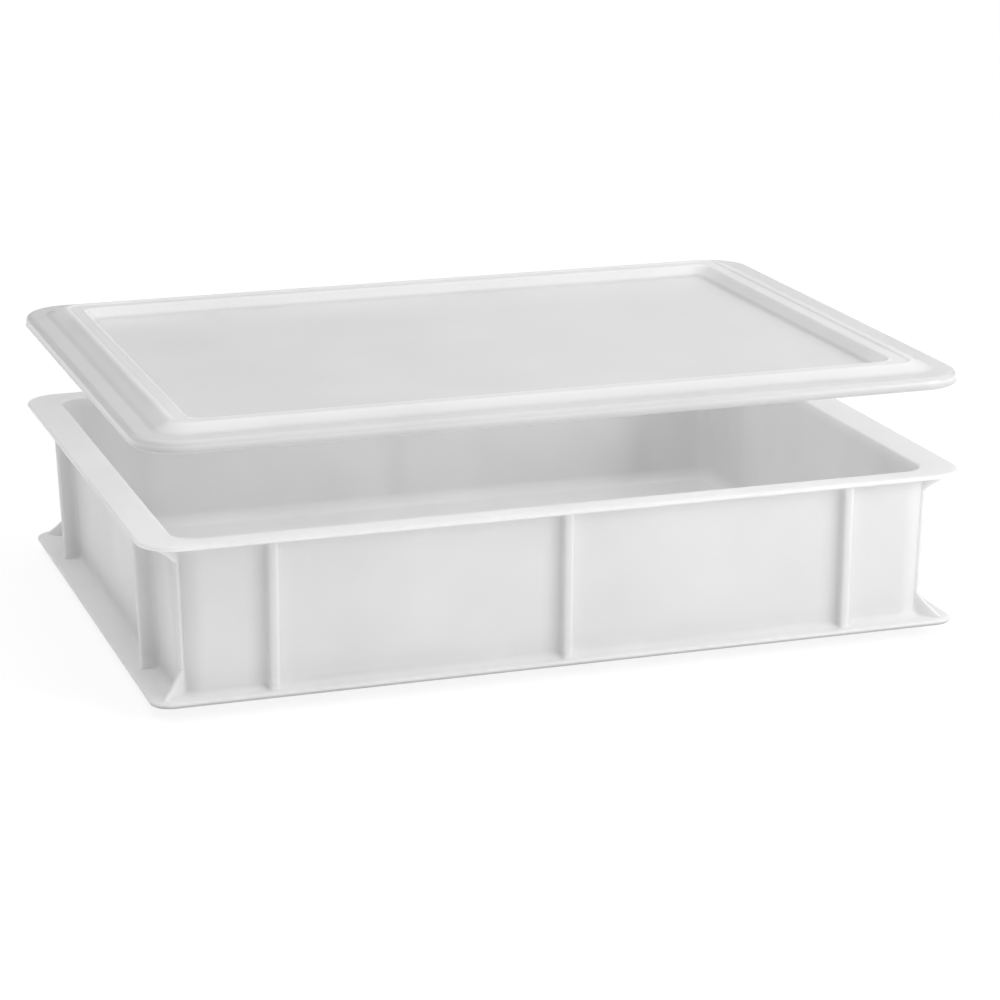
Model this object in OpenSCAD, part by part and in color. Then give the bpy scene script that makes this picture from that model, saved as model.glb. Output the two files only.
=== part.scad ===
// Stackable dough proofing tray with a lift-off lid, moulded in white food-grade plastic.
// The origin is the middle of the footprint, on the surface the tray stands on. +Z is up,
// X runs along the long side, and the tray's long front wall faces -Y.

/* [Tray] */
// Length over the rim, along X
tray_length = 400; // [300:5:600]
// Width over the rim, along Y
tray_width = 300; // [240:5:400]
// Height from the table to the top of the rim
tray_height = 82.5; // [60:0.5:140]
// Radius of the rim's outer corners
rim_corner = 18; // [14:0.5:24]
// Thickness of the rim
rim_thick = 2.2; // [1.6:0.1:3.5]
// Width of the rim at the two short ends
rim_end = 17; // [15:0.5:22]
// Width of the rim along the two long sides
rim_side = 12; // [11:0.5:16]
// Radius of the opening's corners
opening_corner = 12; // [11:0.5:16]
// Thickness of the side walls
wall = 2.5; // [1.8:0.1:3.2]
// How far each wall leans in between the rim and the floor
wall_draft = 2.5; // [1:0.1:3]
// Thickness of the floor
floor_thick = 2.5; // [1.8:0.1:4]
// Radius inside, between the floor and the walls
floor_cove = 7; // [4:0.5:8]
// Radius outside, where the walls meet the rim and the base flange
outer_cove = 3.5; // [2:0.5:4]

/* [Base] */
// How far the base flange stays inside the rim's outline
base_inset = 3; // [1:0.5:6]
// Radius of the base flange's corners
base_corner = 10; // [7:0.5:16]
// Thickness of the base flange
base_thick = 2.5; // [1.8:0.1:4]
// Height of the stacking foot under the base
foot_height = 6.5; // [6.5:0.1:9]
// Thickness of the stacking foot
foot_thick = 3; // [2:0.1:5]
// Gap between the foot and the recess of a lid that it stands in
foot_gap = 1; // [0.5:0.1:2]

/* [Ribs] */
// Distance between the ribs on the long walls
rib_pitch = 140; // [60:5:150]
// Width of a rib on the long walls, at its outer face
rib_width = 4; // [2:0.5:6]
// How far the ribs stand out from the long walls
rib_depth = 4.5; // [3:0.5:6]
// Distance between the two webs on each short wall
web_pitch = 186; // [100:2:200]
// Thickness of a web on the short walls
web_thick = 3; // [2:0.5:4]
// How far the webs stand out from the short walls
web_depth = 8.5; // [6:0.5:10]
// Thickness of the diagonal gussets at the corners
gusset_thick = 2.5; // [1.8:0.1:4]
// Height of the corner gussets that stand on the base flange
gusset_height = 13; // [8:0.5:20]
// Height of the corner gussets that hang under the rim
gusset_drop = 9; // [6:0.5:16]

/* [Lid] */
// Radius of the lid's outer corners
lid_corner = 24; // [22:0.5:28]
// Thickness of the lid
lid_thick = 2; // [1.5:0.1:2.4]
// Height of the lid's edge, from the rim to the outer shelf
shelf_height = 5.6; // [5:0.1:8]
// Height of the ridge above the shelf
ridge_rise = 3.6; // [2.5:0.1:4]
// Distance from the lid's edge to the foot of the ridge
ridge_start = 12; // [8:0.5:13]
// Distance from the lid's edge to the crest of the ridge
ridge_crest = 19.5; // [18:0.5:20]
// Distance from the lid's edge to the recessed panel
panel_start = 33; // [31:0.5:36]
// Radius of the panel's corners
panel_corner = 4; // [3:0.5:6]
// Depth of the panel below the crest of the ridge
panel_depth = 6.3; // [5.5:0.1:6.4]
// How far the locating ribs reach down into the tray
spigot_reach = 3; // [1:0.5:6]
// Thickness of the locating ribs
spigot_thick = 1.8; // [1.2:0.1:3]
// Gap between the locating ribs and the tray's walls
spigot_gap = 0.8; // [0.3:0.1:1.5]
// Height that the lid is held above its seat
lid_lift = 42; // [0.2:0.2:120]

/* [Hidden] */
$fn = 96;

white = [0.93, 0.94, 0.95];
arc_steps = 8;                                  // straight steps in a quarter of a moulded radius

// levels of the tray, up from the table
base_z = foot_height;                           // underside of the flange and of the floor
floor_z = base_z + floor_thick;
ledge_z = base_z + base_thick;                  // top of the flange
rim_z = tray_height - rim_thick;                // underside of the rim

// half sizes of the tray, out from the middle
half_length = tray_length / 2;
half_width = tray_width / 2;
corner_x = half_length - rim_end - opening_corner;     // centre of the wall's corners
corner_y = half_width - rim_side - opening_corner;
top_in = opening_corner;                        // offsets of the wall from that centre
top_out = top_in + wall;
low_in = top_in - wall_draft;
low_out = low_in + wall;
wall_x = corner_x + top_out;                    // outer face of the walls, under the rim
wall_y = corner_y + top_out;
edge_round = rim_thick / 2;

// half sizes of the lid
crest_z = shelf_height + ridge_rise;
plateau_z = crest_z - 0.6;                      // the ridge's top, inside its crest
panel_z = crest_z - panel_depth;
outer_x = half_length - lid_corner;             // centre of the lid's outer corners
outer_y = half_width - lid_corner;
inner_x = half_length - panel_start - panel_corner;    // centre of the panel's corners
inner_y = half_width - panel_start - panel_corner;
lip_step = 0.5;                                 // the lip at the bottom of the lid's edge
lip_height = shelf_height * 0.55;
edge_bend = 2;                                  // radius of the bend from the edge to the shelf
lid_z = tray_height + lid_lift;

// points of a quarter circle, turning from angle a by 90 degrees (or by -90)
function quarter(cx, cy, r, a, turn = 1) =
    [for (i = [0 : arc_steps]) [cx + r * cos(a + turn * 90 * i / arc_steps),
                                cy + r * sin(a + turn * 90 * i / arc_steps)]];

// a rounded rectangle in the plane, from the centres of its corners
module round_rect(cx, cy, r) {
    square([2 * cx, 2 * (cy + r)], center = true);
    square([2 * (cx + r), 2 * cy], center = true);
    for (sx = [-1, 1], sy = [-1, 1]) translate([sx * cx, sy * cy]) circle(r);
}

// carries a section round a rounded rectangle: x of the section is the distance outwards
// from the corner centres, y is the height
module sweep_round(cx, cy) {
    for (i = [0, 1]) rotate([0, 0, 180 * i]) {
        translate([cx, cy, 0]) rotate_extrude(angle = 90) children();
        translate([-cx, cy, 0]) rotate([0, 0, 90]) rotate_extrude(angle = 90) children();
        translate([cx, -cy, 0]) rotate([90, 0, 0]) mirror([0, 0, 1]) linear_extrude(2 * cy) children();
        translate([cx, cy, 0]) rotate([90, 0, 90]) mirror([0, 0, 1]) linear_extrude(2 * cx) children();
    }
}

// a plate with rounded corners and a rounded outer edge
module round_plate(hx, hy, r, t, hole_x, hole_y, hole_r) {
    e = t / 2;
    linear_extrude(t) difference() {
        round_rect(hx - r, hy - r, r - e);
        round_rect(hole_x - hole_r, hole_y - hole_r, hole_r);
    }
    sweep_round(hx - r, hy - r)
        polygon(concat([[r - 2 * e, 0]], quarter(r - e, e, e, -90), quarter(r - e, e, e, 0), [[r - 2 * e, t]]));
}

// the section of the tray's wall, with its coves to the floor, the flange and the rim
module wall_section() {
    polygon(concat(
        [[low_in - floor_cove, base_z], [low_out + outer_cove, base_z]],
        quarter(low_out + outer_cove, ledge_z + outer_cove, outer_cove, -90, -1),
        quarter(top_out + outer_cove, rim_z - outer_cove, outer_cove, 180, -1),
        [[top_out + outer_cove, tray_height]],
        quarter(top_in + edge_round, tray_height - edge_round, edge_round, 90),
        quarter(low_in - floor_cove, floor_z + floor_cove, floor_cove, 0, -1)));
}

// a rib that stands out from a wall facing +Y and follows its lean
module rib(width, depth) {
    root = wall / 2;
    lean = wall_draft;
    translate([-width / 2, 0, 0]) rotate([90, 0, 90]) linear_extrude(width)
        polygon([[-lean - root, base_z + 1], [depth - lean, base_z + 1], [depth - lean, ledge_z],
                 [depth, rim_z], [depth, rim_z + 1], [-root, rim_z + 1]]);
}

// a gusset with a hollow free edge, which starts at the distance foot from the centre of the
// wall's corner and runs out into the wall's face; turn is 1 when it stands and -1 when it hangs
module gusset(foot, face, level, height, turn) {
    steps = 10;
    lean = turn * wall_draft * height / (rim_z - ledge_z);
    rotate([90, 0, 0]) linear_extrude(gusset_thick, center = true)
        polygon(concat(
            [[face - wall / 2, level - turn], [foot, level - turn]],
            [for (i = [0 : steps])
                [face - 0.3 + lean * i / steps + (foot - face + 0.3) * pow(1 - i / steps, 1.5),
                 level + turn * height * i / steps]],
            [[face - wall / 2 + lean, level + turn * height]]));
}

// the two gussets of a corner: one stands on the flange, one hangs under the rim
module corner_gusset() {
    flange_x = half_length - base_inset - base_corner - corner_x;   // from the wall's corner centre
    flange_y = half_width - base_inset - base_corner - corner_y;    // to the flange's and the rim's
    rim_x = half_length - rim_corner - corner_x;
    rim_y = half_width - rim_corner - corner_y;
    translate([corner_x, corner_y, 0])
        rotate([0, 0, atan2(flange_y + 0.7 * base_corner, flange_x + 0.7 * base_corner)]) {
            gusset(norm([flange_x, flange_y]) + base_corner - 3.2, low_out, ledge_z, gusset_height, 1);
            gusset(norm([rim_x, rim_y]) + rim_corner - 3, top_out, rim_z, gusset_drop, -1);
        }
}

// the open tray: floor, leaning walls, rim, base flange, ribs, corner gussets and stacking foot
module tray() {
    color(white) {
        sweep_round(corner_x, corner_y) wall_section();
        translate([0, 0, base_z]) linear_extrude(floor_thick)
            square([2 * (corner_x + low_in - floor_cove) + 0.02, 2 * (corner_y + low_in - floor_cove) + 0.02],
                   center = true);
        translate([0, 0, rim_z])
            round_plate(half_length, half_width, rim_corner, rim_thick,
                        wall_x - wall / 2, wall_y - wall / 2, top_out - wall / 2);
        translate([0, 0, base_z])
            round_plate(half_length - base_inset, half_width - base_inset, base_corner, base_thick,
                        corner_x + low_in, corner_y + low_in, low_in);
        for (side = [0, 180]) rotate([0, 0, side]) {
            for (x = [-rib_pitch, 0, rib_pitch]) translate([x, wall_y, 0]) rib(rib_width, rib_depth);
            for (y = [-web_pitch / 2, web_pitch / 2])
                translate([wall_x, y, 0]) rotate([0, 0, -90]) rib(web_thick, web_depth);
        }
        for (mx = [0, 1], my = [0, 1]) mirror([mx, 0, 0]) mirror([0, my, 0]) corner_gusset();
        foot();
    }
}

// the stacking foot: a low ring under the floor that stands in the recess of a lid below
module foot() {
    r = panel_corner + 2;
    fx = half_length - panel_start - foot_gap;
    fy = half_width - panel_start - foot_gap;
    sweep_round(fx - r, fy - r)
        polygon([[r - foot_thick, 0], [r - 0.5, 0], [r, 0.5], [r, base_z + 1], [r - foot_thick - 0.5, base_z + 1]]);
}

// the section of the lid from its edge to the crest of the ridge
module lid_outer_section() {
    r = lid_corner;
    shelf_in = r - ridge_start;
    crest = r - ridge_crest;
    polygon(concat(
        [[r - lid_thick - lip_step, 0], [r, 0], [r, lip_height], [r - lip_step, lip_height + 0.2]],
        quarter(r - lip_step - edge_bend, shelf_height - edge_bend, edge_bend, 0),
        [[shelf_in + 1.5, shelf_height + 0.2]],
        [[shelf_in - 1.5, shelf_height + 0.9], [crest + 2.5, crest_z - 0.8], [crest + 1, crest_z - 0.1]],
        [[crest, crest_z], [crest - 1.5, crest_z - 0.1], [crest - 2.5, plateau_z], [0.2, plateau_z]],
        [[0.2, plateau_z - lid_thick], [crest + 1, crest_z - lid_thick - 0.2]],
        [[shelf_in - 1, shelf_height + 0.4 - lid_thick], [shelf_in + 1.5, shelf_height - lid_thick]],
        [[r - lid_thick - lip_step, shelf_height - lid_thick]]));
}

// the section of the lid from inside the crest down to the recessed panel
module lid_inner_section() {
    r = panel_corner;
    top = panel_start - ridge_crest + r - 1;
    brink = r + 2.5;
    polygon(concat(
        [[top, plateau_z], [brink + 1.2, plateau_z - 0.2]],
        quarter(brink + 0.8, plateau_z - 1, 0.8, 90),
        quarter(r - 0.6, panel_z + 1.2, 1.2, 0, -1),
        [[0.2, panel_z], [0.2, panel_z - lid_thick], [r + 1, panel_z - lid_thick]],
        [[r + lid_thick + 0.6, panel_z - lid_thick + 1.5], [brink + lid_thick, plateau_z - lid_thick - 0.2]],
        [[top, plateau_z - lid_thick]]));
}

// a locating rib that faces +Y, hanging from the underside of the lid into the tray
module spigot(length, top) {
    translate([-length / 2, -spigot_thick, 0]) rotate([90, 0, 90]) linear_extrude(length)
        polygon([[0, top], [0, -spigot_reach + 1], [0.4, -spigot_reach], [spigot_thick - 0.8, -spigot_reach],
                 [spigot_thick, -spigot_reach + 1.5], [spigot_thick, top]]);
}

// the lid: an edge that stands on the rim, a shelf, a ridge and a recessed panel
module lid() {
    color(white) translate([0, 0, lid_z]) {
        sweep_round(outer_x, outer_y) lid_outer_section();
        sweep_round(inner_x, inner_y) lid_inner_section();
        translate([0, 0, panel_z - lid_thick]) linear_extrude(lid_thick)
            square([2 * inner_x + 0.5, 2 * inner_y + 0.5], center = true);
        for (side = [0, 180]) rotate([0, 0, side]) {
            translate([0, half_width - rim_side - spigot_gap, 0]) spigot(tray_length * 0.7, shelf_height - 0.6);
            translate([half_length - rim_end - spigot_gap, 0, 0]) rotate([0, 0, -90])
                spigot(tray_width * 0.66, crest_z - 1.4);
        }
    }
}

tray();
lid();
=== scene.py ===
import math
import bpy
import numpy as np
from mathutils import Matrix, Vector


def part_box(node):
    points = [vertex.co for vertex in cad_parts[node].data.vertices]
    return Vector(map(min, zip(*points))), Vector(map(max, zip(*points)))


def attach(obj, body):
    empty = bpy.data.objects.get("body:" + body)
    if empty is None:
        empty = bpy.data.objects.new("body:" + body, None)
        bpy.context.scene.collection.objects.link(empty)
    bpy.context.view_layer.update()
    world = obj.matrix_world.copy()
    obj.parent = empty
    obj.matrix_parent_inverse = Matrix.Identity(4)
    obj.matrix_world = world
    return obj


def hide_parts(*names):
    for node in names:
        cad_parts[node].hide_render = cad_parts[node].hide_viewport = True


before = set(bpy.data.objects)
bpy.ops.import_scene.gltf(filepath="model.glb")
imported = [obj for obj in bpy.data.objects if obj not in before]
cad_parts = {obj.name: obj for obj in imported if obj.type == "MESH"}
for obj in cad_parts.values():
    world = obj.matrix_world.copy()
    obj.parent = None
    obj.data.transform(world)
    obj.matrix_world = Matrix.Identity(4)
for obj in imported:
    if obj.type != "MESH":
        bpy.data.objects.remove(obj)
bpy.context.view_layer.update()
mm = 0.001                                        # the pieces' sizes below are millimetres
print("frame:", sorted(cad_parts))


# Outlines. A moulding is a loft: a closed outline goes round it once, as a rounded rectangle,
# for each row of a section. A row is (corner centre x, corner centre y, radius from that
# centre, height, radius and height that a cove adds, rib share, gusset share).

def arc(centreR, centreZ, radius, start, end, steps=7):
    # centre plus radius times (cos, sin) of an angle that goes from start to end, in degrees
    angle = np.radians(np.linspace(start, end, steps + 1))
    return np.column_stack([centreR + radius * np.cos(angle), centreZ + radius * np.sin(angle)])


def rows(centre, points, cove=None, rib=0.0, gusset=0.0):
    # a row for each point (radius, height), all round the same corner centre
    points = np.asarray(points, float).reshape(-1, 2)
    count = len(points)
    cove = np.zeros((count, 2)) if cove is None else cove
    return np.column_stack([np.full(count, centre[0]), np.full(count, centre[1]), points, cove,
                            np.full(count, rib), np.full(count, gusset)])


def middle(centre, z, order=1):
    # rows across a flat middle: shares of the way out to the corner centres, at height z
    share = np.array([0.02, 0.35, 0.7])[::order]
    return np.column_stack([centre[0] * share, centre[1] * share, share * 2.0, share * 0 + z,
                            np.zeros((len(share), 4))])


def refine(table, hold, step):
    # extra rows by linear interpolation: one close to each end of a flat stretch, which keeps
    # it flat in the shading, and enough between them that no stretch is longer than step
    outer = table[:, 0] + table[:, 2] + table[:, 4]
    wide = table[:, 1] + table[:, 2] + table[:, 4]
    high = table[:, 3] + table[:, 5]
    gaps = np.abs(np.diff(outer)) + np.abs(np.diff(wide)) + np.abs(np.diff(high)) + 1e-9
    run = np.concatenate([[0.0], np.cumsum(gaps)])
    flat = gaps > 4 * hold
    spots = [run, run[:-1][flat] + hold, run[1:][flat] - hold]
    for start, gap in zip(run[:-1][gaps > step], gaps[gaps > step]):
        spots.append(start + np.linspace(0, gap, int(gap / step) + 2)[1:-1])
    spots = np.unique(np.round(np.concatenate(spots), 6))
    return np.column_stack([np.interp(spots, run, column) for column in table.T])


def ribShape(width, depth, foot, flare, nose):
    # across a rib: a fillet up from the wall, flare times as wide as high, a flank that leans in
    # a little, a rounded nose, and the same mirrored
    lean = 0.25
    left = np.vstack([arc(0, foot, foot, -90, 0, 5) * [flare, 1] - [width / 2 + lean + foot * flare, 0],
                      arc(-width / 2 + nose, depth - nose, nose, 180, 90, 3)])
    left[:, 1] /= depth
    return np.vstack([left, left[::-1] * [-1, 1]])


def sidePlaces(halfSpan, ribPlaces, shape, step):
    # places along a straight side, with the rib's own points at each rib and even steps between;
    # a place close to each end of a flat stretch keeps it flat in the shading
    close = 0.5
    places, stands, last = [], [], -halfSpan
    for spot in list(ribPlaces) + [halfSpan]:
        start = spot + shape[0, 0] if spot != halfSpan else halfSpan
        gap = start - last
        even = last + np.linspace(0, gap, max(2, int(gap / step) + 2))[1:-1]
        even = np.concatenate([[last + close], even, [start - close]]) if gap > 8 * close else even
        places.append(even)
        stands.append(np.zeros(len(even)))
        if spot != halfSpan:
            places.append(spot + shape[:, 0])
            stands.append(shape[:, 1])
            last = spot + shape[-1, 0]
    return np.concatenate(places), np.concatenate(stands)


def outline(centre, sideX=None, sideY=None, corner=None, step=15.0, cornerSteps=16):
    # one turn round a rounded rectangle, anticlockwise from the middle of the +X side: each
    # station has its share of the corner centre, its outward direction, the direction in which
    # a rib pushes it, how far (0 to 1) it stands on a rib, and whether that rib is a gusset
    plain = np.array([[0.0, 0.0]])
    alongX = sidePlaces(centre[1], *(sideX or ([], plain)), step)      # the sides that face X
    alongY = sidePlaces(centre[0], *(sideY or ([], plain)), step)
    parts = []
    for turn in range(4):
        facing = np.radians(90.0 * turn)
        across = alongX if turn % 2 == 0 else alongY
        span = centre[1] if turn % 2 == 0 else centre[0]
        share, stand = across[0] / span, across[1]
        normal = np.array([np.cos(facing), np.sin(facing)]).round(9)
        tangent = np.array([-normal[1], normal[0]])
        at = normal + share[:, None] * tangent
        parts.append(np.column_stack([at, np.tile(normal, (len(share), 1)),
                                      np.tile(normal, (len(share), 1)), stand, np.zeros(len(share))]))
        quarter = (facing, facing + np.pi / 2)
        if corner is None:
            angle = np.linspace(*quarter, cornerSteps + 1)
            push, stand = angle, np.zeros(len(angle))
        else:
            mid = facing + corner["angle"] if turn % 2 == 0 else facing + np.pi / 2 - corner["angle"]
            over = mid + corner["shape"][:, 0] / corner["radius"]
            before = np.linspace(quarter[0], over[0], corner["steps"] // 2 + 1)[:-1]
            after = np.linspace(over[-1], quarter[1], corner["steps"] // 2 + 1)[1:]
            angle = np.concatenate([before, over, after])
            push = np.full(len(angle), mid)
            stand = np.concatenate([before * 0, corner["shape"][:, 1], after * 0])
        at = normal + tangent
        parts.append(np.column_stack([np.tile(at, (len(angle), 1)), np.cos(angle), np.sin(angle),
                                      np.cos(push), np.sin(push), stand, (stand > 0) * 1.0]))
    return np.vstack(parts)


def loft(table, stations, keepTo=(1e9, 1e9), ribDepth=None, gussetReach=None):
    # point = share of the corner centre + outward direction * radius + push * rib, for every
    # row of the section and every station of the outline at once, with a pole at each end.
    # A row wider than keepTo keeps its stations in line with that narrower row: along a side
    # they stay where they are, and in a corner they lie on rays from the narrower centre.
    shareX, shareY, outX, outY, pushX, pushY, stand, isGusset = stations.T
    centreX, centreY, radius, height, coveR, coveZ, rib, gusset = (c[:, None] for c in table.T)
    keep = 1 - stand * np.where(isGusset > 0, 0.85, 0.5)  # a cove shrinks on a gusset and a rib
    radius = radius + coveR * keep
    height = height + coveZ * keep
    push = 0 * radius
    if ribDepth is not None:
        deep = np.where(np.abs(outX) > np.abs(outY), ribDepth[0], ribDepth[1])
        push = stand * np.where(isGusset > 0, gusset * gussetReach(height), rib * deep)
    anchorX, anchorY = np.minimum(centreX, keepTo[0]), np.minimum(centreY, keepTo[1])
    extraX, extraY = centreX - anchorX, centreY - anchorY
    alongX, alongY = np.abs(outX), np.abs(outY)
    # the ray's length: to the side that faces X, to the side that faces Y, or else to the arc
    toX = (extraX + radius) / np.maximum(alongX, 1e-9)
    toY = (extraY + radius) / np.maximum(alongY, 1e-9)
    ahead = alongX * extraX + alongY * extraY
    toArc = ahead + np.sqrt(np.maximum(ahead ** 2 - extraX ** 2 - extraY ** 2 + radius ** 2, 0))
    ray = np.where(toX * alongY <= extraY, toX, np.where(toY * alongX <= extraX, toY, toArc))
    x = shareX * anchorX + outX * ray + pushX * push
    y = shareY * anchorY + outY * ray + pushY * push
    grid = np.stack([x, y, height + 0 * x], axis=-1)
    levels, count = grid.shape[:2]
    first = np.array([[0.0, 0.0, table[0, 3]]])
    last = np.array([[0.0, 0.0, table[-1, 3]]])
    points = np.vstack([grid.reshape(-1, 3), first, last])
    here = np.arange(count)
    after = np.roll(here, -1)
    base = (np.arange(levels - 1) * count)[:, None]
    quads = np.stack([base + here, base + count + here, base + count + after, base + after], axis=-1)
    top = (levels - 1) * count
    fans = np.vstack([np.column_stack([here, after, np.full(count, levels * count)]),
                      np.column_stack([top + after, top + here, np.full(count, levels * count + 1)])])
    return points, quads.reshape(-1, 4), fans


def makePiece(name, lofts, body, node):
    # the arrays of one or more lofts go straight into one mesh, in metres
    points, loops, sizes, offset = [], [], [], 0
    for corners, quads, fans in lofts:
        points.append(corners)
        loops += [(quads + offset).ravel(), (fans + offset).ravel()]
        sizes += [np.full(len(quads), 4), np.full(len(fans), 3)]
        offset += len(corners)
    points, loops, sizes = np.vstack(points) * mm, np.concatenate(loops), np.concatenate(sizes)
    mesh = bpy.data.meshes.new(name)
    mesh.vertices.add(len(points))
    mesh.vertices.foreach_set("co", points.ravel())
    mesh.loops.add(len(loops))
    mesh.loops.foreach_set("vertex_index", loops)
    mesh.polygons.add(len(sizes))
    mesh.polygons.foreach_set("loop_start", np.concatenate([[0], np.cumsum(sizes)[:-1]]))
    mesh.polygons.foreach_set("loop_total", sizes)
    mesh.polygons.foreach_set("use_smooth", np.ones(len(sizes), bool))
    mesh.update(calc_edges=True)
    mesh.validate()
    piece = bpy.data.objects.new(name, mesh)
    bpy.context.scene.collection.objects.link(piece)
    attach(piece, body)
    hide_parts(node)
    print(name + ":", len(sizes), "faces")
    return piece


# The tray

trayHigh = np.array(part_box("tray")[1]) / mm
# rimEnd and rimSide: the rim's width at the ends and at the sides; draft: how far a wall leans in
# on its way down; an inset is measured from the rim's outer edge
tray = {
    "rimEnd": 17.0, "rimSide": 12.0, "rimCorner": 18.0, "rimThick": 2.2,
    "openingCorner": 12.0, "wall": 2.5, "draft": 2.5, "floorThick": 2.5, "floorCove": 7.0,
    "outerCove": 3.5, "baseInset": 3.0, "baseCorner": 10.0, "baseThick": 2.5,
    "footHeight": 6.5, "footThick": 3.0, "footInset": 34.0, "footCorner": 6.0, "footFillet": 1.0,
    "footEdge": 0.6, "footLean": 0.3,
    # across each kind of rib: width, depth, the fillet at its foot and how many times wider than
    # high that is, and the nose's radius; a gusset's depth is stretched to its reach
    "ribPitch": 140.0, "webPitch": 186.0,
    "rib": {"width": 5.0, "depth": 4.5, "foot": 2.6, "flare": 3.4, "nose": 1.7},
    "web": {"width": 3.0, "depth": 8.5, "foot": 3.0, "flare": 1.3, "nose": 1.4},
    "gusset": {"width": 2.5, "depth": 8.0, "foot": 1.8, "flare": 0.8, "nose": 1.2},
    # the gussets: how high they rise from the flange and reach down from the rim, how far their
    # free edge ends short of each, how hollow it is, and how deep the fin between them is
    "gussetHeight": 15.0, "gussetTop": 11.0, "flangeShort": 3.2, "rimShort": 2.0,
    "flangeHollow": 1.5, "rimHollow": 1.4, "finDepth": 1.5,
}


def trayLofts(t):
    halfX, halfY, top = trayHigh
    rimZ, baseZ = top - t["rimThick"], t["footHeight"]
    ledgeZ, floorZ = baseZ + t["baseThick"], baseZ + t["floorThick"]
    wallAt = (halfX - t["rimEnd"] - t["openingCorner"], halfY - t["rimSide"] - t["openingCorner"])
    rimAt = (halfX - t["rimCorner"], halfY - t["rimCorner"])
    baseAt = (halfX - t["baseInset"] - t["baseCorner"], halfY - t["baseInset"] - t["baseCorner"])
    footAt = (halfX - t["footInset"] - t["footCorner"], halfY - t["footInset"] - t["footCorner"])
    edge, baseEdge, cove = t["rimThick"] / 2, t["baseThick"] / 2, t["outerCove"]
    inTop, outTop = t["openingCorner"], t["openingCorner"] + t["wall"]
    inLow, outLow = inTop - t["draft"], outTop - t["draft"]

    # from the middle of the floor out, up the inside, over the rim and down its outer edge
    inside = rows(wallAt, np.vstack([arc(inLow - t["floorCove"], floorZ + t["floorCove"],
                                         t["floorCove"], -90, 0, 8),
                                     arc(inTop + edge, top - edge, edge, 180, 90, 6)]))
    rim = rows(rimAt, arc(t["rimCorner"] - edge, top - edge, edge, 90, -90, 8))

    # down the outside: the cove under the rim, the leaning wall, the cove on to the flange
    turn = np.radians(np.linspace(0, 90, 8))
    coveOut, coveUp = cove * (1 - np.sin(turn)), cove * (1 - np.cos(turn))
    high = np.tile([outTop, rimZ], (len(turn), 1))
    low = np.tile([outLow, ledgeZ], (len(turn), 1))
    wallTop = rows(wallAt, high, np.column_stack([coveOut, -coveUp]), rib=1.0, gusset=1.0)
    wallLow = rows(wallAt, low, np.column_stack([coveOut, coveUp]), rib=1.0, gusset=1.0)[::-1]
    # closer rows, at shares of the way down, where the gussets run out into the wall
    near = np.concatenate([np.linspace(0.01, 0.14, 6), np.linspace(0.79, 0.99, 8)])[:, None]
    wall = wallTop[-1] + near * (wallLow[0] - wallTop[-1])
    flange = rows(baseAt, arc(t["baseCorner"] - baseEdge, ledgeZ - baseEdge, baseEdge, 90, -90, 8))

    # under the floor: the stacking foot, and the floor's underside to its middle
    r, thick, fillet, tip = t["footCorner"], t["footThick"], t["footFillet"], t["footEdge"]
    foot = rows(footAt, np.vstack([
        arc(r + fillet, baseZ - fillet, fillet, 90, 180, 4), arc(r - tip, tip, tip, 0, -90, 3),
        arc(r - thick + tip, tip, tip, -90, -180, 3),
        arc(r - thick - fillet - t["footLean"], baseZ - fillet, fillet, 0, 90, 4)]))
    table = np.vstack([middle(wallAt, floorZ), inside, rim, wallTop, wall, wallLow, flange, foot,
                       middle(footAt, baseZ, -1)])
    table = refine(table, hold=0.4, step=18.0)

    # the gussets' free edge: a hollow curve that ends short of the flange's and the rim's own
    # edge, and runs out into a low fin along the wall
    toFlange = np.hypot(baseAt[0] - wallAt[0], baseAt[1] - wallAt[1]) + t["baseCorner"] - outLow
    toRim = np.hypot(rimAt[0] - wallAt[0], rimAt[1] - wallAt[1]) + t["rimCorner"] - outTop

    def gussetReach(z):
        rise = np.clip(1 - (z - ledgeZ) / t["gussetHeight"], 0, 1) ** t["flangeHollow"]
        drop = np.clip(1 - (rimZ - z) / t["gussetTop"], 0, 1) ** t["rimHollow"]
        reach = (toFlange - t["flangeShort"]) * rise + (toRim - t["rimShort"]) * drop
        return np.maximum(reach, t["finDepth"])

    # a gusset points at the middle of the flange's rounded corner, 0.7 of its radius each way
    aim = np.array(baseAt) + t["baseCorner"] * 0.7 - wallAt
    corner = {"angle": np.arctan2(aim[1], aim[0]), "radius": (outLow + outTop) / 2,
              "shape": ribShape(**t["gusset"]), "steps": 14}
    webs = ([-t["webPitch"] / 2, t["webPitch"] / 2], ribShape(**t["web"]))
    ribs = ([-t["ribPitch"], 0.0, t["ribPitch"]], ribShape(**t["rib"]))
    stations = outline(wallAt, webs, ribs, corner)
    return [loft(table, stations, wallAt, (t["web"]["depth"], t["rib"]["depth"]), gussetReach)]


# The lid

lidLow, lidHigh = (np.array(c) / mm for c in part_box("lid"))
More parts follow.
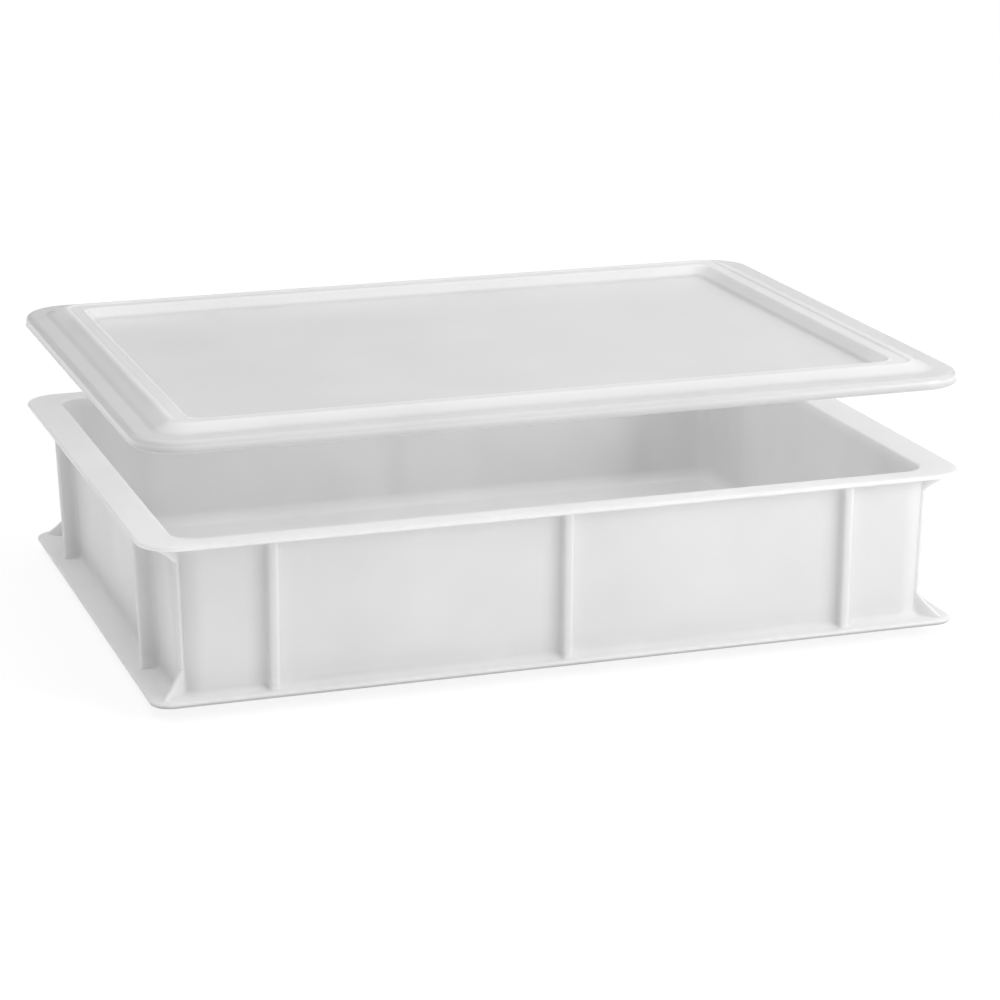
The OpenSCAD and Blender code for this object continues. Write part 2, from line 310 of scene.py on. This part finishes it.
# reach: how far the locating ribs hang below the edge; starts and the crest are measured in from
# the edge; bend: the edge's upper radius, and lean: how much further in it lies than the foot
lid = {
    "reach": 3.0, "corner": 24.0, "thick": 2.0, "shelf": 5.6, "ridgeStart": 12.0, "ridgeCrest": 19.5,
    "panelStart": 33.0, "panelCorner": 4.0, "panelDepth": 6.3, "lean": 0.35, "bend": 3.0,
    # the recess: how far its wall leans from upright in degrees, the fillets at its foot and its
    # brink, and how far out from the panel's edge the flat above it starts
    "recessSlant": 42, "recessFillet": 2.5, "brinkFillet": 1.8, "brink": 5.5,
    # the ridge: how far the flat inside the crest lies below it, radii of the crest and of the
    # slope down to the shelf, and how much rounder both are in plan than the lid's edge
    "plateau": 0.6, "crestRadius": 4.2, "slopeRadius": 6.0, "crestRound": 4.5, "slopeRound": 2.0,
    # small roundings: the edge's outer and inner foot, and the bends of the underside
    "edgeOut": 0.4, "edgeIn": 0.3, "underFillet": 0.8, "underPanel": 1.5,
    # the locating ribs: length, how far the top lies below the shelf's or the crest's, and the
    # top's slope across, which follows the lid's underside and ends just inside the plastic
    "ribThick": 1.8, "ribGap": 0.8, "ribEdge": 0.5,
    "ribLong": (280.0, 0.95, 0.5), "ribShort": (198.0, 2.1, 0.2),
}


def lidLofts(t):
    halfX, halfY, crestZ = lidHigh
    ribEnd = lidLow[2]
    seat = ribEnd + t["reach"]                                         # the edge's underside
    shelfZ, panelZ, plateauZ = seat + t["shelf"], crestZ - t["panelDepth"], crestZ - t["plateau"]
    outerAt = np.array([halfX, halfY]) - t["corner"]
    innerAt = np.array([halfX, halfY]) - t["panelStart"] - t["panelCorner"]
    r, q, thick, bend = t["corner"], t["panelCorner"], t["thick"], t["bend"]
    shelfIn, crest, brink = r - t["ridgeStart"], r - t["ridgeCrest"], q + t["brink"]
    footR, brinkR, crestR, slopeR = t["recessFillet"], t["brinkFillet"], t["crestRadius"], t["slopeRadius"]
    underR, panelR, outR, inR = t["underFillet"], t["underPanel"], t["edgeOut"], t["edgeIn"]
    slant = t["recessSlant"]

    def eased(shift, points):
        # a rounder corner: its centre goes in by the shift and its radius grows by as much
        return rows(outerAt - shift, np.asarray(points) + [shift, 0.0])

    # from the middle of the panel out and up the wall of the recess
    inner = rows(innerAt, np.vstack([arc(q - 1.5, panelZ + footR, footR, -90, -slant, 8),
                                     arc(brink, plateauZ - brinkR, brinkR, 180 - slant, 90, 8),
                                     [[brink + 1.0, plateauZ - 0.05]]]))
    # the groove inside the crest, the crest, the slope down to the shelf and the rounded edge
    ridge = eased(t["crestRound"], np.vstack([
        [[crest - 4.0, plateauZ], [crest - 3.2, plateauZ - 0.05], [crest - 2.4, plateauZ + 0.08]],
        arc(crest - 0.6, crestZ - crestR, crestR, 105, 66, 9)]))
    slope = eased(t["slopeRound"], arc(shelfIn + 2.2, shelfZ + slopeR, slopeR, 246, 270, 8))
    edge = rows(outerAt, np.vstack([
        arc(r - t["lean"] - bend, shelfZ - bend, bend, 90, 5, 10),
        arc(r - outR, seat + outR, outR, 0, -90, 4),
        arc(r - thick - outR, seat + inR, inR, -90, -180, 4),
        arc(r - thick - underR - 0.7, shelfZ - thick - underR, underR, 0, 90, 4)]))
    # back to the middle along the underside, about one thickness below
    below = [
        eased(t["slopeRound"], [[shelfIn + 1.5, shelfZ - thick], [shelfIn - 1.0, shelfZ + 0.4 - thick]]),
        eased(t["crestRound"], [[crest + 1.2, crestZ - thick - 0.3], [crest, crestZ - thick - 0.1]]),
        rows(innerAt, np.vstack([[[brink + 1.0, plateauZ - thick]],
                                 arc(brink + thick - 2.6, plateauZ - thick - underR, underR, 90, 170, 5),
                                 arc(q + thick + 1.2, panelZ - thick + panelR, panelR, 190, 270, 5)]))]
    table = np.vstack([middle(innerAt, panelZ), inner, ridge, slope, edge, *below,
                       middle(innerAt, panelZ - thick, -1)])
    lofts = [loft(refine(table, hold=0.4, step=9.0), outline(outerAt, cornerSteps=24))]

    # the locating ribs: straight, round-ended, hanging from the shelf's underside into the tray
    half, tip, pole = t["ribThick"] / 2, t["ribEdge"], 0.02
    opening = trayHigh[:2] - [tray["rimEnd"], tray["rimSide"]]
    for (length, sink, fall), distance, roof, turned in ((t["ribLong"], opening[1], shelfZ, 0),
                                                         (t["ribShort"], opening[0], crestZ, 1)):
        top, away = roof - sink, distance - t["ribGap"] - half
        section = rows((length / 2 - half, 0.0), np.vstack([
            [[pole, top], [half, top], [half, ribEnd + 2 * tip]],
            arc(half - tip, ribEnd + tip, tip, 0, -90, 4), [[pole, ribEnd]]]))
        stations = outline((length / 2 - half, 1.0), cornerSteps=8, step=20.0)
        for side in (-1, 1):
            points, quads, fans = loft(section, stations)
            points[:, 2] -= (points[:, 2] > top - 0.1) * fall * side * points[:, 1]
            points = points + [0, side * away, 0]
            if turned:
                points = points[:, [1, 0, 2]] * [-1, 1, 1]
            lofts.append((points, quads, fans))
    return lofts


# Materials. Both mouldings are polyethylene: a milky, slightly see-into white with a waxy gloss.

def linear(hexColour):
    # sRGB hex to linear: ((c + 0.055) / 1.055) ** 2.4, or c / 12.92 near black
    c = np.array([int(hexColour[i:i + 2], 16) for i in (1, 3, 5)]) / 255
    c = np.where(c > 0.04045, ((c + 0.055) / 1.055) ** 2.4, c / 12.92)
    return (*c.tolist(), 1.0)


def addNode(tree, kind, settings, links=None):
    # a node with its settings, each an input's number or name or else a property, and its links
    node = tree.nodes.new("ShaderNode" + kind)
    for name, value in settings.items():
        if isinstance(name, int) or name in node.inputs:
            node.inputs[name].default_value = value
        else:
            setattr(node, name, value)
    for name, source in (links or {}).items():
        tree.links.new(source, node.inputs[name])
    return node


def paintRecessHighlight(tree, place, paintedLight, size, floorZ, shade):
    # a painted highlight: a lighter shade on the slanted wall round the recess, within the half length
    # and half width given, and above the recess's floor
    side = addNode(tree, "VectorMath", {"operation": "ABSOLUTE"}, {0: place}).outputs[0]
    side = addNode(tree, "SeparateXYZ", {}, {0: side})
    across = addNode(tree, "Math", {"operation": "ADD", 1: (size[1] - size[0]) * mm}, {0: side.outputs["X"]})
    far = addNode(tree, "Math", {"operation": "MAXIMUM"}, {0: across.outputs[0], 1: side.outputs["Y"]})
    within = addNode(tree, "MapRange", {"From Min": (size[1] + 1) * mm, "From Max": size[1] * mm},
                     {"Value": far.outputs[0]})
    above = addNode(tree, "MapRange", {"From Min": (floorZ + 0.2) * mm, "From Max": (floorZ + 2.0) * mm},
                    {"Value": side.outputs["Z"]})
    both = addNode(tree, "Math", {"operation": "MULTIPLY"}, {0: within.outputs[0], 1: above.outputs[0]})
    mixed = addNode(tree, "Mix", {"data_type": "RGBA", 7: linear(shade)}, {0: both.outputs[0], 6: paintedLight})
    return mixed.outputs[2]


def mouldedPlastic(name, look):
    material = bpy.data.materials.new(name)
    material.use_nodes = True
    tree = material.node_tree
    tree.nodes.clear()
    place = addNode(tree, "TexCoord", {}).outputs["Object"]
    # painted light and shade that goes with the height: a painted shadow line low on the flange's and
    # the lid's edges, and lighter painted tops and slopes
    heights = [height for height, shade in look["paintedLight"]]
    level = addNode(tree, "MapRange", {"From Min": heights[0] * mm, "From Max": heights[-1] * mm},
                    {"Value": addNode(tree, "SeparateXYZ", {}, {0: place}).outputs["Z"]})
    ramp = addNode(tree, "ValToRGB", {}, {"Fac": level.outputs[0]})
    stops = ramp.color_ramp.elements
    stops.remove(stops[1])
    for height, shade in look["paintedLight"]:
        spot = (height - heights[0]) / (heights[-1] - heights[0])
        stop = stops.new(spot) if spot > 0 else stops[0]
        stop.color = linear(shade)
    paintedLight = ramp.outputs[0]
    # a painted highlight on the recess's slanted wall
    if "recess" in look:
        paintedLight = paintRecessHighlight(tree, place, paintedLight, *look["recess"])
    flow = addNode(tree, "TexNoise", {"Scale": 1 / (look["flow"] * mm), "Detail": 2.0}, {"Vector": place})
    tint = addNode(tree, "MapRange", {"From Min": 0.3, "From Max": 0.7}, {"Value": flow.outputs["Fac"]})
    colour = addNode(tree, "Mix", {"data_type": "RGBA", "blend_type": "MULTIPLY", 7: linear(look["streak"])},
                     {0: tint.outputs[0], 6: paintedLight})
    grain = addNode(tree, "TexNoise", {"Scale": 1 / (look["grain"] * mm), "Detail": 3.0}, {"Vector": place})
    wave = addNode(tree, "TexNoise", {"Scale": 1 / (look["wave"] * mm), "Detail": 1.0}, {"Vector": place})
    fine = addNode(tree, "Bump", {"Strength": look["grainDepth"], "Distance": 0.1 * mm},
                   {"Height": grain.outputs["Fac"]})
    broad = addNode(tree, "Bump", {"Strength": look["waveDepth"], "Distance": 1.0 * mm},
                    {"Height": wave.outputs["Fac"], "Normal": fine.outputs[0]})
    rough = addNode(tree, "MapRange", {"To Min": look["gloss"][0], "To Max": look["gloss"][1]},
                    {"Value": flow.outputs["Fac"]})
    # 1.54 is polyethylene's own index; light goes in and comes out again white, as in milk
    shader = addNode(tree, "BsdfPrincipled", {"IOR": 1.54, "Subsurface Weight": look["milky"],
                                              "Subsurface Scale": look["depth"] * mm,
                                              "Subsurface Radius": (1.0, 1.0, 1.0)},
                     {"Base Color": colour.outputs[2], "Roughness": rough.outputs[0],
                      "Normal": broad.outputs[0]})
    addNode(tree, "OutputMaterial", {}, {"Surface": shader.outputs[0]})
    return material


# first the painted light and shade by height: heights and shades, with a painted shadow line low on
# the flange's and the lid's edges and lighter painted tops; flow and streak: size and shade of the
# faint streaks that the melt leaves; grain: the mould's fine texture, drawn coarser than the real
# one so that it shows; wave: the slow unevenness that bends a reflection; gloss: least and most
# roughness, waxy on the tray and shinier on the lid; milky and depth: how much light goes in and
# how far; recess: its half length and half width, its floor's height and the shade of the painted
# highlight on its wall. Sizes are in millimetres.
trayFinishAndPaintedLight = {
    # painted shade and light: a dark painted shadow line low on the flange's edge, and a lighter painted
    # flange top and rim
    "paintedLight": ((0.0, "#DCDCDC"), (6.52, "#DCDCDC"), (6.6, "#A0A0A0"), (7.2, "#A4A4A4"), (8.0, "#D6D6D6"),
             (9.2, "#ECECEC"), (16.0, "#E2E2E2"), (76.0, "#E2E2E2"), (82.5, "#ECECEC")),
    "streak": "#FAFAFA", "flow": 45.0, "grain": 0.9, "grainDepth": 0.25, "wave": 38.0, "waveDepth": 0.12,
    "gloss": (0.36, 0.5), "milky": 1.0, "depth": 3.0,
}
lidFinishAndPaintedLight = {
    # painted shade and light: a dark painted shadow line low on the lid's edge, and lighter painted slopes
    # and crest
    "paintedLight": ((121.5, "#D4D4D4"), (124.6, "#B8B8B8"), (125.4, "#CECECE"), (127.5, "#E3E3E3"),
             (128.4, "#DADADA"), (130.1, "#DFDFDF"), (131.2, "#EAEAEA"), (132.8, "#ECECEC"),
             (133.7, "#EFEFEF")),
    # the painted highlight on the recess's slanted wall
    "recess": ((171.0, 121.0), 127.4, "#F6F6F6"),
    "streak": "#FAFAFA", "flow": 60.0, "grain": 0.7, "grainDepth": 0.12, "wave": 55.0, "waveDepth": 0.08,
    "gloss": (0.2, 0.3), "milky": 1.0, "depth": 3.0,
}

trayPiece = makePiece("tray_moulding", trayLofts(tray), "tray", "tray")
trayPiece.data.materials.append(mouldedPlastic("moulded HDPE, satin, with painted light and shade", trayFinishAndPaintedLight))
lidPiece = makePiece("lid_moulding", lidLofts(lid), "lid", "lid")
lidPiece.data.materials.append(mouldedPlastic("moulded HDPE, glossy, with painted light and shade", lidFinishAndPaintedLight))


# Floor, light and camera

board = {"reach": 6.0, "paint": "#A6A6A6", "roughness": 0.9, "sheen": 0.1, "glow": 0.69}


def makeFloor(b):
    # a square sheet, reach metres to each side
    reach = b["reach"]
    mesh = bpy.data.meshes.new("floor")
    mesh.from_pydata([(-reach, -reach, 0), (reach, -reach, 0), (reach, reach, 0), (-reach, reach, 0)],
                     [], [(0, 1, 2, 3)])
    floor = bpy.data.objects.new("floor", mesh)
    bpy.context.scene.collection.objects.link(floor)
    # matt paint shows no mirror image, and a glow of its own keeps it white
    material = bpy.data.materials.new("painted board, matt")
    material.use_nodes = True
    inputs = material.node_tree.nodes["Principled BSDF"].inputs
    inputs["Base Color"].default_value = linear(b["paint"])
    inputs["Roughness"].default_value = b["roughness"]
    inputs["Specular IOR Level"].default_value = b["sheen"]
    inputs["Emission Color"].default_value = linear("#FFFFFF")
    inputs["Emission Strength"].default_value = b["glow"]
    mesh.materials.append(material)


def softLight(name, place, aim, size, power):
    # a rectangular lamp at place, turned to the point it aims at
    data = bpy.data.lights.new(name, "AREA")
    data.shape, data.size, data.size_y, data.energy = "RECTANGLE", *size, power
    light = bpy.data.objects.new(name, data)
    light.location = place
    light.rotation_mode = "QUATERNION"
    light.rotation_quaternion = (Vector(aim) - Vector(place)).to_track_quat("-Z", "Y")
    bpy.context.scene.collection.objects.link(light)
    return light


def makeStudio(room):
    # the room's light: a dim even dome with soft round patches on it. A patch gives its level
    # times smoothstep(edge, 1, cosine of the angle from its middle)
    world = bpy.data.worlds.new("studio")
    world.use_nodes = True
    tree = world.node_tree
    tree.nodes.clear()
    ray = addNode(tree, "TexCoord", {}).outputs["Generated"]
    total = addNode(tree, "Value", {}).outputs[0]
    total.default_value = room["dome"]
    for towards, edge, level in room["patches"].values():
        cosine = addNode(tree, "VectorMath", {"operation": "DOT_PRODUCT", 1: Vector(towards).normalized()},
                         {0: ray}).outputs["Value"]
        patch = addNode(tree, "MapRange", {"interpolation_type": "SMOOTHSTEP", "From Min": edge,
                                           "To Max": level}, {"Value": cosine})
        total = addNode(tree, "Math", {"operation": "ADD"}, {0: total, 1: patch.outputs[0]}).outputs[0]
    # the camera itself sees a white backdrop behind the floor
    seen = addNode(tree, "LightPath", {}).outputs["Is Camera Ray"]
    total = addNode(tree, "Math", {"operation": "MAXIMUM"}, {0: total, 1: seen}).outputs[0]
    sky = addNode(tree, "Background", {"Color": (1, 1, 1, 1)}, {"Strength": total})
    addNode(tree, "OutputWorld", {}, {"Surface": sky.outputs[0]})
    bpy.context.scene.world = world
    bpy.context.scene.view_settings.view_transform = "Standard"
    lamps = {name: softLight(name, *values) for name, values in room["lamps"].items()}
    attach(lamps["inside"], "lid")  # it hangs under the lid at every pose


# patches: middle, cosine at the edge, level; lamps: place, aim and size in metres, power in watts
studio = {
    "dome": 0.18,
    "patches": {"above": ((0, 0, 1), 0.3, 1.0), "highLeft": ((-0.5, -0.15, 0.85), 0.7, 0.27),
                "backRight": ((0.42, 0.87, 0.25), 0.93, 0.6), "backLeft": ((-0.5, 0.85, 0.3), 0.9, 0.3)},
    "lamps": {"key": ((0.8, -0.85, 0.45), (0.1, -0.1, 0.05), (0.5, 0.5), 5.8),
              "inside": ((0, 0, 0.119), (0, 0, 0), (0.37, 0.27), 0.21)},
}
makeFloor(board)
makeStudio(studio)
print("studio lit")

# where the photograph was taken from: millimetres and degrees, the focal length in pixels of a
# picture as wide as the photograph, that width, and the sensor's width in millimetres
viewpoint = {"place": (-471.4, -1477.5, 483.2), "yaw": 18.18, "pitch": 15.696, "roll": -0.252,
             "focal": 3207.7, "width": 1000, "sensor": 36.0}


def makeCamera(v):
    # yaw turns the view from +Y towards +X, pitch tips it down, and roll turns it about itself
    yaw, pitch, roll = (math.radians(v[angle]) for angle in ("yaw", "pitch", "roll"))
    ahead = Vector((math.sin(yaw) * math.cos(pitch), math.cos(yaw) * math.cos(pitch), -math.sin(pitch)))
    right = Vector((math.cos(yaw), -math.sin(yaw), 0))
    up = right.cross(ahead)
    rightRolled = math.cos(roll) * right + math.sin(roll) * up
    upRolled = -math.sin(roll) * right + math.cos(roll) * up
    turn = Matrix((rightRolled, upRolled, -ahead)).transposed()
    data = bpy.data.cameras.new("camera")
    data.sensor_width = v["sensor"]
    data.lens = v["focal"] * v["sensor"] / v["width"]
    camera = bpy.data.objects.new("camera", data)
    camera.matrix_world = Matrix.Translation(Vector(v["place"]) * mm) @ turn.to_4x4()
    bpy.context.scene.collection.objects.link(camera)
    bpy.context.scene.camera = camera
    print("camera placed")


makeCamera(viewpoint)
